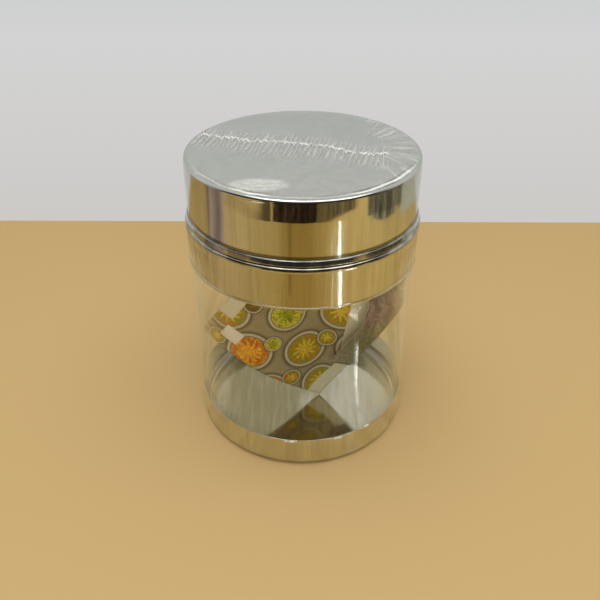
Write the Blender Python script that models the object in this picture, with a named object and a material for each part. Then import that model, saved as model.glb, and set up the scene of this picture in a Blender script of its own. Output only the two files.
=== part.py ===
"""See-through storage canister with a push-on steel lid.

A steel base cup holds a clear tube, and a steel collar caps the tube with a shoulder and a neck. A
steel lid pushes down over the neck and rests on the shoulder. Two seals sit at the tube's ends, a
folded leaflet stands in the tube, and shrink film covers the body and the lid.

All turned pieces share the Z axis. The canister stands on the XY plane, and its front faces -Y.
Turned outlines are lists of (radius, height) points.
"""

import math

import bmesh
import bpy
from mathutils import Vector
from mathutils.geometry import interpolate_bezier

MM = 0.001

# Whole canister
CAN_HEIGHT = 140.0 * MM
BASE_RADIUS = 52.6 * MM
STEEL = 0.5 * MM
GAP = 0.3 * MM
SEGMENTS = 48
QUARTER_STEPS = 4
WELD = 0.001 * MM

# Base cup
BASE_WALL_HEIGHT = 16.5 * MM
BASE_CORNER = 3.5 * MM

# Clear tube and its seals
TUBE_WALL = 1.2 * MM
SEAL_WIDTH = 1.5 * MM
BOTTOM_SEAL_LIP = 1.1 * MM
TOP_SEAL_HEIGHT = 1.25 * MM

# Neck collar
NECK_INSET = 2.1 * MM
NECK_RISE = 22.35 * MM
NECK_HEM_HEIGHT = 1.5 * MM
COLLAR_DEPTH = 19.75 * MM
ROLL_PROUD = 0.25 * MM
SHOULDER_ROLL = 1.45 * MM
SHOULDER_FILLET = 0.7 * MM
SKIRT_HEM_HEIGHT = 1.0 * MM

# Lid
LID_DEPTH = 28.05 * MM
LID_CORNER = 2.0 * MM
LID_DRAW = 0.1 * MM
LID_DRAW_HEIGHT = 9.0 * MM
LID_HEM_PROUD = 1.05 * MM
LID_HEM_HEIGHT = 2.9 * MM

# Shrink film
FILM = 0.2 * MM
BODY_FILM_DROP = 0.75 * MM
FILM_WAIST_REACH = 12.0 * MM
FILM_WRAP_ANGLE = math.radians(50.0)
LID_FILM_HANG = 1.3 * MM

# Leaflet: a sheet that stands on its lowest corner, bent round a plan line from wall to wall
LEAFLET = 0.4 * MM
LEAFLET_TILT = math.radians(54.0)
LEAFLET_REACH_SHARE = 0.85
LEAFLET_GRID = 14
PLAN_TIP_SHARE = (0.19, -0.06)
PLAN_SHARES = (
    (-0.995, -0.07), (-0.84, -0.17), (-0.64, -0.23), (-0.36, -0.25), (-0.10, -0.18), PLAN_TIP_SHARE,
    (0.44, -0.055), (0.72, -0.08), (0.90, -0.11), (0.98, -0.20), (0.91, -0.415), (0.766, -0.643),
    (0.56, -0.83), (0.26, -0.966),
)
PLAN_SPAN_STEPS = 8

# Flap: the sheet's right-hand strip, folded forward over the sheet's face. The fold bows inwards
# by the cube of the way up the sheet
FOLD_BOW = 8.0 * MM
FLAP_START = 27.0 * MM
FLAP_WIDTH = 14.0 * MM
FLAP_TAPER_SHARE = 0.08
FLAP_FOLD = math.radians(152.0)
FLAP_FOLD_TOP = math.radians(90.0)
FLAP_BEND = 0.8 * MM
FLAP_BEND_STEPS = 3
FLAP_STEPS = 3

# Sticker on the leaflet's face
STICKER = 0.2 * MM
STICKER_LENGTH = 10.0 * MM
STICKER_WIDTH = 8.0 * MM
STICKER_PLACE_SHARES = (0.83, 0.12)
STICKER_GRID = 3

# Sizes and heights that follow from the driving sizes
cup_inner = BASE_RADIUS - STEEL
cup_corner_inner = BASE_CORNER - STEEL
tube_outer = cup_inner - GAP
tube_inner = tube_outer - TUBE_WALL
bottom_seal_top = BASE_CORNER + BOTTOM_SEAL_LIP
tube_bottom = bottom_seal_top + GAP
shoulder_top = CAN_HEIGHT - LID_DEPTH - GAP
shoulder_under = shoulder_top - STEEL
top_seal_top = shoulder_under - GAP
top_seal_bottom = top_seal_top - TOP_SEAL_HEIGHT
tube_top = top_seal_bottom - GAP
skirt_bottom = shoulder_top - COLLAR_DEPTH
neck_radius = BASE_RADIUS - NECK_INSET
neck_inner = neck_radius - STEEL
neck_top = shoulder_top + NECK_RISE
lid_inner = neck_radius + GAP
lid_radius = lid_inner + STEEL
lid_seat = shoulder_top + GAP
lid_hem_middle = lid_seat + LID_HEM_HEIGHT / 2
lid_draw_start = CAN_HEIGHT - LID_DRAW_HEIGHT


def material(name, color, roughness, metallic=0.0, alpha=1.0):
    """A Principled material with one colour."""
    made = bpy.data.materials.new(name)
    made.use_nodes = True
    shader = made.node_tree.nodes["Principled BSDF"]
    shader.inputs["Base Color"].default_value = (*color, 1.0)
    shader.inputs["Roughness"].default_value = roughness
    shader.inputs["Metallic"].default_value = metallic
    shader.inputs["Alpha"].default_value = alpha
    made.diffuse_color = (*color, alpha)
    made.roughness = roughness
    made.metallic = metallic
    return made


def add_object(name, mesh, finish):
    """Puts a mesh into the scene as a named object with its own finish."""
    mesh.materials.append(finish)
    added = bpy.data.objects.new(name, mesh)
    bpy.context.scene.collection.objects.link(added)
    return added


def arc(radius, height, size, start, end, tall=None):
    """Points on a round, or on an ellipse `tall` high, from angle start to end in degrees."""
    tall = size if tall is None else tall
    steps = max(1, round(abs(end - start) / 90.0 * QUARTER_STEPS))
    points = []
    for step in range(steps + 1):
        angle = math.radians(start + (end - start) * step / steps)
        points.append((radius + size * math.cos(angle), height + tall * math.sin(angle)))
    return points


def turned(name, outline, finish, seat=0.0):
    """Spins a closed outline round Z into one solid whose own origin is at height `seat`."""
    solid = bmesh.new()
    points = [solid.verts.new((radius, 0.0, height - seat)) for radius, height in outline]
    edges = [solid.edges.new(pair) for pair in zip(points, points[1:])]
    if outline[0][0] > 0.0 or outline[-1][0] > 0.0:
        edges.append(solid.edges.new((points[-1], points[0])))
    bmesh.ops.spin(
        solid, geom=points + edges, axis=(0.0, 0.0, 1.0), cent=(0.0, 0.0, 0.0),
        angle=2.0 * math.pi, steps=SEGMENTS, use_merge=True,
    )
    bmesh.ops.remove_doubles(solid, verts=solid.verts, dist=WELD)
    bmesh.ops.recalc_face_normals(solid, faces=solid.faces)
    mesh = bpy.data.meshes.new(name)
    solid.to_mesh(mesh)
    solid.free()
    mesh.shade_smooth()
    mesh.set_sharp_from_angle(angle=math.radians(35.0))
    return add_object(name, mesh, finish)


def base_cup(finish):
    """Pressed cup: flat floor, round corner, straight wall with a rounded rim."""
    corner_radius = BASE_RADIUS - BASE_CORNER
    rim = STEEL / 2
    outline = [(0.0, STEEL)]
    outline += arc(corner_radius, BASE_CORNER, cup_corner_inner, -90.0, 0.0)
    outline += arc(cup_inner + rim, BASE_WALL_HEIGHT - rim, rim, 180.0, 0.0)
    outline += arc(corner_radius, BASE_CORNER, BASE_CORNER, 0.0, -90.0)
    outline += [(0.0, 0.0)]
    return turned("base_cup", outline, finish)


def bottom_seal(finish):
    """Ring that fills the cup's corner under the tube, one clearance off the steel."""
    corner_radius = BASE_RADIUS - BASE_CORNER
    seal_inner = tube_outer - SEAL_WIDTH
    lower_round = cup_corner_inner - GAP
    reach = math.degrees(math.acos((seal_inner - corner_radius) / lower_round))
    outline = arc(corner_radius, BASE_CORNER, lower_round, 0.0, -reach)
    outline += [(seal_inner, bottom_seal_top), (tube_outer, bottom_seal_top)]
    return turned("tube_bottom_seal", outline, finish)


def clear_tube(finish):
    """Straight plastic cylinder, with its edges broken."""
    edge = TUBE_WALL / 4
    outline = [
        (tube_outer - edge, tube_top), (tube_outer, tube_top - edge),
        (tube_outer, tube_bottom + edge), (tube_outer - edge, tube_bottom),
        (tube_inner + edge, tube_bottom), (tube_inner, tube_bottom + edge),
        (tube_inner, tube_top - edge), (tube_inner + edge, tube_top),
    ]
    return turned("clear_tube", outline, finish)


def top_seal(finish):
    """Ring between the tube's upper edge and the collar, rounded to fit inside its shoulder."""
    fillet = SHOULDER_FILLET - GAP
    outline = [(tube_inner, top_seal_top)]
    outline += arc(tube_outer - fillet, top_seal_top - fillet, fillet, 90.0, 0.0)
    outline += [(tube_outer, top_seal_bottom), (tube_inner, top_seal_bottom)]
    return turned("tube_top_seal", outline, finish)


def neck_collar(finish):
    """Pressed ring: hemmed neck, rolled shoulder, and a skirt with a hemmed lower edge."""
    roll_radius = BASE_RADIUS + ROLL_PROUD - SHOULDER_ROLL
    roll_height = shoulder_top - SHOULDER_ROLL
    roll_end = math.degrees(math.acos((BASE_RADIUS - roll_radius) / SHOULDER_ROLL))
    hem_round = STEEL
    skirt_edge = ROLL_PROUD
    hem_radius = BASE_RADIUS + ROLL_PROUD
    hem_top = skirt_bottom + SKIRT_HEM_HEIGHT
    outline = arc(neck_radius - hem_round, neck_top - hem_round, hem_round, 180.0, 0.0)
    outline += [(neck_radius, shoulder_top)]
    outline += arc(roll_radius, roll_height, SHOULDER_ROLL, 90.0, -roll_end)
    outline += [(BASE_RADIUS, hem_top + skirt_edge), (hem_radius, hem_top)]
    outline += arc(hem_radius - skirt_edge, skirt_bottom + skirt_edge, skirt_edge, 0.0, -90.0)
    outline += [(cup_inner, skirt_bottom)]
    outline += arc(cup_inner - SHOULDER_FILLET, shoulder_under - SHOULDER_FILLET, SHOULDER_FILLET, 0.0, 90.0)
    outline += [(neck_inner, shoulder_under), (neck_inner, neck_top - NECK_HEM_HEIGHT)]
    outline += [(neck_inner - STEEL, neck_top - NECK_HEM_HEIGHT + STEEL)]
    return turned("neck_collar", outline, finish)


def lid_cap(finish):
    """Pressed lid: flat top, round corner, slightly drawn-in wall and a rolled hem."""
    corner_radius = lid_radius - LID_DRAW - LID_CORNER
    corner_height = CAN_HEIGHT - LID_CORNER
    outline = [(0.0, CAN_HEIGHT)]
    outline += arc(corner_radius, corner_height, LID_CORNER, 90.0, 0.0)
    outline += [(lid_radius, lid_draw_start)]
    outline += arc(lid_radius, lid_hem_middle, LID_HEM_PROUD, 90.0, -90.0, tall=LID_HEM_HEIGHT / 2)
    outline += [(lid_inner, lid_seat), (lid_inner, lid_draw_start)]
    outline += arc(corner_radius, corner_height, LID_CORNER - STEEL, 0.0, 90.0)
    outline += [(0.0, CAN_HEIGHT - STEEL)]
    return turned("lid_cap", outline, finish, seat=lid_seat)


def film_shell(name, inner_side, outer_side, finish, seat=0.0):
    """A thin turned skin from its two sides, both listed from top to bottom."""
    return turned(name, inner_side + outer_side[::-1], finish, seat=seat)


def lid_film(finish):
    """Film over the lid: flat over the top, tight on the wall, and over the hem."""
    sides = []
    for off in (GAP, GAP + FILM):
        corner_radius = lid_radius - LID_DRAW - LID_CORNER
        corner_height = CAN_HEIGHT - LID_CORNER
        hem_top = lid_hem_middle + LID_HEM_HEIGHT / 2
        side = [(0.0, CAN_HEIGHT + off)]
        side += arc(corner_radius, corner_height, LID_CORNER + off, 90.0, 0.0)
        side += [(lid_radius + off, lid_draw_start), (lid_radius + off, hem_top + off)]
        side += arc(lid_radius, lid_hem_middle, LID_HEM_PROUD + off, 45.0, 0.0, tall=LID_HEM_HEIGHT / 2 + off)
        side += [(lid_radius + LID_HEM_PROUD + off, lid_hem_middle - LID_FILM_HANG)]
        sides.append(side)
    return film_shell("lid_film", sides[0], sides[1], finish, seat=lid_seat)


def body_film(finish):
    """Film round collar, window and base: tight on the steel, and drawn in over the window."""
    waist_top = skirt_bottom - FILM_WAIST_REACH
    waist_bottom = BASE_WALL_HEIGHT + FILM_WAIST_REACH
    hem_top = skirt_bottom + SKIRT_HEM_HEIGHT
    corner_radius = BASE_RADIUS - BASE_CORNER
    half_way = (BASE_RADIUS + tube_outer) / 2
    sides = []
    for off in (GAP, GAP + FILM):
        proud = BASE_RADIUS + ROLL_PROUD + off
        side = [
            (proud, shoulder_top - BODY_FILM_DROP), (proud, shoulder_top - 2 * SHOULDER_ROLL),
            (BASE_RADIUS + off, shoulder_top - 3 * SHOULDER_ROLL),
            (BASE_RADIUS + off, hem_top + 2 * SKIRT_HEM_HEIGHT),
            (proud, hem_top + ROLL_PROUD), (proud, skirt_bottom - ROLL_PROUD),
            (half_way + off, (skirt_bottom + waist_top) / 2),
            (tube_outer + off, waist_top), (tube_outer + off, waist_bottom),
            (half_way + off, (BASE_WALL_HEIGHT + waist_bottom) / 2),
            (BASE_RADIUS + off, BASE_WALL_HEIGHT + GAP),
        ]
        side += arc(corner_radius, BASE_CORNER, BASE_CORNER + off, 0.0, -math.degrees(FILM_WRAP_ANGLE))
        sides.append(side)
    return film_shell("body_film", sides[0], sides[1], finish)


def plan_line():
    """The leaflet's line on plan: (distance from the tip, place) along a smooth curve.

    The curve goes through PLAN_SHARES of the reach to the tube's wall, and the wall holds it in.
    """
    reach = tube_inner - GAP - LEAFLET / 2
    marks = [Vector(share) * reach for share in PLAN_SHARES]
    places = []
    for index in range(len(marks) - 1):
        before = marks[max(index - 1, 0)]
        after = marks[min(index + 2, len(marks) - 1)]
        start, end = marks[index], marks[index + 1]
        span = interpolate_bezier(
            start, start + (end - before) / 6.0, end - (after - start) / 6.0, end, PLAN_SPAN_STEPS + 1,
        )
        places += [Vector(place) for place in span[:-1]]
    places.append(marks[-1])
    places = [place * min(1.0, reach / place.length) for place in places]
    distances = [0.0]
    for one, other in zip(places, places[1:]):
        distances.append(distances[-1] + (other - one).length)
    tip = distances[PLAN_SHARES.index(PLAN_TIP_SHARE) * PLAN_SPAN_STEPS]
    return [(distance - tip, place) for distance, place in zip(distances, places)]


def on_plan(line, distance):
    """Place, direction and forward normal on the plan line at a distance from the tip."""
    for (start, place), (end, following) in zip(line, line[1:]):
        if distance <= end or following is line[-1][1]:
            break
    share = (distance - start) / (end - start)
    along = (following - place).normalized()
    found = place.lerp(following, share)
    return found.to_3d(), along.to_3d(), Vector((along.y, -along.x, 0.0))


def plan_distance(across, along):
    """Distance on plan from the tip, for a place on the tilted sheet."""
    return along * math.cos(LEAFLET_TILT) - across * math.sin(LEAFLET_TILT)


def sheet_point(line, across, along, lift=0.0):
    """Place on the leaflet: `across` from its right-hand edge, `along` that edge from the tip."""
    place, _, forward = on_plan(line, plan_distance(across, along))
    foot = STEEL + GAP
    height = foot + along * math.sin(LEAFLET_TILT) + across * math.cos(LEAFLET_TILT)
    return place + forward * lift + Vector((0.0, 0.0, height))


def fold_bow(along, length):
    """How far the fold has bowed in at a place along it, and the angle it has turned by there."""
    way = along / length
    return FOLD_BOW * way ** 3, math.atan(3.0 * FOLD_BOW / length * way ** 2)


def flap_point(line, along, length, reach, bend_share=1.0):
    """Place on the flap: `reach` past its bend, or on the bend at a share of its angle.

    The fold opens by the cube of the way up it, where the tube's wall turns the sheet forward.
    """
    opening = ((along - FLAP_START) / (length - FLAP_START)) ** 3
    angle = (FLAP_FOLD + (FLAP_FOLD_TOP - FLAP_FOLD) * opening) * bend_share
    inset, turn = fold_bow(along, length)
    _, direction, forward = on_plan(line, plan_distance(inset, along))
    outward = direction * math.sin(LEAFLET_TILT + turn) - Vector((0.0, 0.0, math.cos(LEAFLET_TILT + turn)))
    bend = (outward * math.sin(angle) + forward * (1.0 - math.cos(angle))) * FLAP_BEND
    run = (outward * math.cos(angle) + forward * math.sin(angle)) * reach
    return sheet_point(line, inset, along) + bend + run


def leaflet_size(line):
    """Width that just reaches the left wall, and length that reaches its share of the height."""
    width = -line[0][0] / math.sin(LEAFLET_TILT)
    top = LEAFLET_REACH_SHARE * (CAN_HEIGHT - 2 * STEEL)
    length = (top - width * math.cos(LEAFLET_TILT)) / math.sin(LEAFLET_TILT)
    return width, length


def sheet_object(name, rows, thickness, finish):
    """A sheet from rows of points, some shorter than others, thickened to a closed solid."""
    sheet = bmesh.new()
    grid = [[sheet.verts.new(point) if point else None for point in row] for row in rows]
    for lower, upper in zip(grid, grid[1:]):
        for column in range(len(lower) - 1):
            corners = (lower[column], lower[column + 1], upper[column + 1], upper[column])
            if all(corners):
                sheet.faces.new(corners)
    mesh = bpy.data.meshes.new(name)
    sheet.to_mesh(mesh)
    sheet.free()
    mesh.shade_smooth()
    made = add_object(name, mesh, finish)
    wall = made.modifiers.new("thickness", "SOLIDIFY")
    wall.thickness = thickness
    wall.offset = 0.0
    return made


def leaflet(line, finish):
    """The sheet and its folded flap as one grid: rows run along the fold, from the tip up."""
    width, length = leaflet_size(line)
    lower_rows = LEAFLET_GRID // 3
    upper_rows = LEAFLET_GRID - lower_rows
    alongs = [FLAP_START * row / lower_rows for row in range(lower_rows)]
    alongs += [FLAP_START + (length - FLAP_START) * row / upper_rows for row in range(upper_rows + 1)]
    rows = []
    for along in alongs:
        inset, _ = fold_bow(along, length)
        row = [sheet_point(line, inset + (width - inset) * (1.0 - column / LEAFLET_GRID), along)
               for column in range(LEAFLET_GRID + 1)]
        flap_width = FLAP_WIDTH - FLAP_TAPER_SHARE * (along - FLAP_START)
        flap = [flap_point(line, along, length, 0.0, (step + 1) / FLAP_BEND_STEPS)
                for step in range(FLAP_BEND_STEPS)]
        flap += [flap_point(line, along, length, flap_width * (step + 1) / FLAP_STEPS)
                 for step in range(FLAP_STEPS)]
        row += flap if along >= FLAP_START else [None] * len(flap)
        rows.append(row)
    return sheet_object("leaflet", rows, LEAFLET, finish)


def leaflet_sticker(line, finish):
    """Small blank label on the leaflet's face, turned as the sheet is."""
    width, length = leaflet_size(line)
    lift = LEAFLET / 2 + GAP + STICKER / 2
    across, along = width * STICKER_PLACE_SHARES[0], length * STICKER_PLACE_SHARES[1]
    rows = []
    for row in range(STICKER_GRID + 1):
        up = along + STICKER_WIDTH * (row / STICKER_GRID - 0.5)
        rows.append([sheet_point(line, across + STICKER_LENGTH * (0.5 - column / STICKER_GRID), up, lift)
                     for column in range(STICKER_GRID + 1)])
    return sheet_object("leaflet_sticker", rows, STICKER, finish)


def main():
    """Clears the scene and builds the canister."""
    for old in list(bpy.data.objects):
        bpy.data.objects.remove(old)
    steel = (0.82, 0.80, 0.76)
    base_cup(material("base_steel", steel, 0.06, metallic=1.0))
    bottom_seal(material("bottom_seal_rubber", (0.62, 0.62, 0.60), 0.6))
    clear_tube(material("tube_plastic", (0.93, 0.94, 0.93), 0.05, alpha=0.25))
    top_seal(material("top_seal_rubber", (0.62, 0.62, 0.60), 0.6))
    neck_collar(material("collar_steel", steel, 0.06, metallic=1.0))
    body_film(material("body_film_plastic", (0.95, 0.95, 0.94), 0.1, alpha=0.15))
    line = plan_line()
    leaflet(line, material("leaflet_paper", (0.62, 0.55, 0.42), 0.5))
    leaflet_sticker(line, material("sticker_paper", (0.88, 0.87, 0.83), 0.5))

    lid_axis = bpy.data.objects.new("lid_axis", None)
    lid_axis.location = (0.0, 0.0, lid_seat)
    bpy.context.scene.collection.objects.link(lid_axis)
    for piece in (
        lid_cap(material("lid_steel", steel, 0.06, metallic=1.0)),
        lid_film(material("lid_film_plastic", (0.95, 0.95, 0.94), 0.1, alpha=0.15)),
    ):
        piece.parent = lid_axis


main()
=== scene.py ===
"""Looks of the storage canister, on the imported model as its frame.

Turned pieces are profiles of (radius, height) points carried round the Z axis. The leaflet is a sheet
bent along a plan line. The shrink films are closed skins a little off the steel. All sizes are metres.
"""

import math
from functools import partialmethod

import bmesh
import bpy
import numpy as np
from mathutils import Matrix, Vector

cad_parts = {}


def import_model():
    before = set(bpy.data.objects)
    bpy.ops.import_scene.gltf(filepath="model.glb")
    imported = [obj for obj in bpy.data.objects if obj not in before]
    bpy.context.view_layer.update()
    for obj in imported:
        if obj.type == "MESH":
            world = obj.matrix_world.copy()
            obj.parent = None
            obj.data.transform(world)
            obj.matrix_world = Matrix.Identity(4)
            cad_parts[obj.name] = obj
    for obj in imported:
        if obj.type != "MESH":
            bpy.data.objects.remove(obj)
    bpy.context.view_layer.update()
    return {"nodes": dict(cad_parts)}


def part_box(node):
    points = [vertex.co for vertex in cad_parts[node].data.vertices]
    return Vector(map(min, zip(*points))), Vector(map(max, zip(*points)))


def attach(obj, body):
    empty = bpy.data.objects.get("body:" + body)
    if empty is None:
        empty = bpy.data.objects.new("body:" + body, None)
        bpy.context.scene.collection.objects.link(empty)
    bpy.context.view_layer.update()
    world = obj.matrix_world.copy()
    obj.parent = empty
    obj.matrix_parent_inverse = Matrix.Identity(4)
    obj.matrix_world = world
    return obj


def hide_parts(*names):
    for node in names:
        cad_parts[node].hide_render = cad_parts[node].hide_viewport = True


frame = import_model()

MM = 0.001

# Camera, as the photograph was taken: the picture is 600 by 600 pixels
PICTURE_WIDTH = 600
FOCAL_PIXELS = 650.0
SENSOR = 36.0
CAMERA_PLACE = (0.0, -0.26738, 0.24508)
CAMERA_YAW = math.radians(-0.233)
CAMERA_PITCH = math.radians(34.549)
CAMERA_ROLL = math.radians(0.089)

# Sizes of the sheet steel. The lid's corner and hem are finer than in the solid model
STEEL = 0.5 * MM
GAP = 0.3 * MM
BASE_CORNER = 3.5 * MM
TUBE_WALL = 1.2 * MM
NECK_HEM_HEIGHT = 1.5 * MM
ROLL_PROUD = 0.25 * MM
SHOULDER_ROLL = 1.45 * MM
SHOULDER_FILLET = 0.7 * MM
SKIRT_HEM_HEIGHT = 1.0 * MM
SHOULDER_DROP = 28.35 * MM
LID_CORNER = 1.2 * MM
LID_FILM_CORNER = 2.2 * MM
LID_DRAW = 0.1 * MM
LID_DRAW_HEIGHT = 9.0 * MM
LID_HEM_PROUD = 1.05 * MM
LID_HEM_HEIGHT = 2.6 * MM
LID_HEM_FILLET = 0.3 * MM
LID_HEM_TOP_ROLL = 0.3 * MM
LID_HEM_LOW_ROLL = 0.6 * MM
LID_HEM_LEAN = 13.0
NECK_INSET = 2.1 * MM

# Places read from the frame
_, base_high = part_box("base_cup")
tube_low, tube_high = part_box("clear_tube")
collar_low, collar_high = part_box("neck_collar")
lid_low, lid_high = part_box("lid_cap")
BASE_RADIUS = base_high.x
BASE_TOP = base_high.z
TUBE_OUTER = tube_high.x
TUBE_INNER = TUBE_OUTER - TUBE_WALL
LID_TOP = lid_high.z
LID_SEAT = lid_low.z
LID_RADIUS = lid_high.x - LID_HEM_PROUD
SKIRT_BOTTOM = collar_low.z
NECK_TOP = collar_high.z
NECK_RADIUS = BASE_RADIUS - NECK_INSET
SHOULDER_TOP = LID_TOP - SHOULDER_DROP

# Fineness of the turned surfaces
AROUND = 288
ARC_STEPS = 8
SUPPORT = 0.12 * MM
WELD = 0.001 * MM


# Surfaces

def arc(radius, height, size, start, end, steps=ARC_STEPS):
    """Points of an arc: radius + size cos a, height + size sin a, for angle a from start to end."""
    count = max(2, round(abs(end - start) / 90.0 * steps)) + 1
    angle = np.radians(np.linspace(start, end, count))
    return np.column_stack([radius + size * np.cos(angle), height + size * np.sin(angle)])


def supported(outline):
    """An outline with a support point close to both ends of every straight run longer than four
    supports, so that smooth shading bends only there."""
    outline = np.asarray(outline)
    following = np.roll(outline, -1, axis=0)
    length = np.linalg.norm(following - outline, axis=1)
    long_run = length > 4 * SUPPORT
    share = np.where(long_run, SUPPORT / np.maximum(length, SUPPORT), 0.0)[:, None]
    near = outline + (following - outline) * share
    far = following - (following - outline) * share
    rows = np.stack([outline, near, far], axis=1)
    keep = np.column_stack([np.ones_like(long_run), long_run, long_run])
    return rows[keep]


def grid_faces(rows, columns, close_rows=False, close_columns=False):
    """Four corners of each cell of a grid whose ends may meet."""
    index = np.arange(rows * columns).reshape(rows, columns)
    if close_rows:
        index = np.vstack([index, index[:1]])
    if close_columns:
        index = np.hstack([index, index[:, :1]])
    return np.stack([index[:-1, :-1], index[:-1, 1:], index[1:, 1:], index[1:, :-1]], axis=-1).reshape(-1, 4)


def mesh_object(name, grids, sharp, outward=True):
    """A mesh object from (points, faces, uv) grids, welded where their edges meet."""
    points, faces, places, start = [], [], [], 0
    for grid, cells, uv in grids:
        flat = grid.reshape(-1, 3)
        points.append(flat)
        faces.append(cells + start)
        places.append(np.zeros((len(flat), 2)) if uv is None else uv.reshape(-1, 2))
        start += len(flat)
    points, faces, places = np.vstack(points), np.vstack(faces), np.vstack(places)
    mesh = bpy.data.meshes.new(name)
    mesh.from_pydata(points.tolist(), [], faces.tolist())
    layer = mesh.uv_layers.new(name="plan")
    corners = np.empty(len(mesh.loops), dtype=np.int32)
    mesh.loops.foreach_get("vertex_index", corners)
    layer.data.foreach_set("uv", places[corners].ravel())
    shape = bmesh.new()
    shape.from_mesh(mesh)
    bmesh.ops.remove_doubles(shape, verts=shape.verts, dist=WELD)
    if outward:
        bmesh.ops.recalc_face_normals(shape, faces=shape.faces)
    shape.to_mesh(mesh)
    shape.free()
    mesh.shade_smooth()
    mesh.set_sharp_from_angle(angle=math.radians(sharp))
    made = bpy.data.objects.new(name, mesh)
    bpy.context.scene.collection.objects.link(made)
    return made


def round_z(outline, around):
    """Angles round Z, and an outline's radius and height as columns."""
    return np.linspace(0.0, 2.0 * np.pi, around, endpoint=False), outline[:, :1], outline[:, 1:]


def swept(name, angle, radius, height, sharp=35.0, uv=None):
    """A closed ring: x = r cos a, y = r sin a, z = height, for each row's r and each angle a."""
    points = np.stack([radius * np.cos(angle), radius * np.sin(angle), height + 0.0 * angle], axis=-1)
    faces = grid_faces(*points.shape[:2], close_rows=True, close_columns=True)
    return mesh_object(name, [(points, faces, uv)], sharp)


def turned(name, outline):
    """A closed outline carried round Z."""
    return swept(name, *round_z(supported(outline), AROUND))


# Shader maths

class Value:
    """A socket's value, on which Python's operators add Math nodes."""

    def __init__(self, finish, socket):
        self.finish = finish
        self.socket = socket

    def of(self, output):
        """Another output of the same node."""
        return Value(self.finish, self.socket.node.outputs[output])

    def maths(self, operation, *others):
        """A Math node on this value and others."""
        return self.finish.node("ShaderNodeMath", {"operation": operation}, dict(enumerate((self, *others))))

    __add__ = __radd__ = partialmethod(maths, "ADD")
    __sub__ = partialmethod(maths, "SUBTRACT")
    __mul__ = __rmul__ = partialmethod(maths, "MULTIPLY")
    __truediv__ = partialmethod(maths, "DIVIDE")
    __pow__ = partialmethod(maths, "POWER")
    __abs__ = partialmethod(maths, "ABSOLUTE")
    floor = partialmethod(maths, "FLOOR")
    sine = partialmethod(maths, "SINE")
    cosine = partialmethod(maths, "COSINE")
    root = partialmethod(maths, "SQRT")
    least = partialmethod(maths, "MINIMUM")
    most = partialmethod(maths, "MAXIMUM")
    # The angle whose tangent is this value over the other
    angle_to = partialmethod(maths, "ARCTAN2")

    def __rsub__(self, other):
        return self.finish.node("ShaderNodeMath", {"operation": "SUBTRACT"}, {0: other, 1: self})

    def ease(self, start, end, low=0.0, high=1.0):
        """A smooth step: low before start, high after end."""
        return self.finish.node(
            "ShaderNodeMapRange", {"interpolation_type": "SMOOTHSTEP"},
            {"Value": self, "From Min": start, "From Max": end, "To Min": low, "To Max": high},
        )

    def within(self, start, full, fall, end):
        """A mask that rises from start to full, and falls from fall to end."""
        return self.ease(start, full) * (1.0 - self.ease(fall, end))

    def near(self, middle, full, end):
        """A mask that is whole up to the distance full from the middle, and gone past end."""
        return 1.0 - abs(self - middle).ease(full, end)


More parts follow.
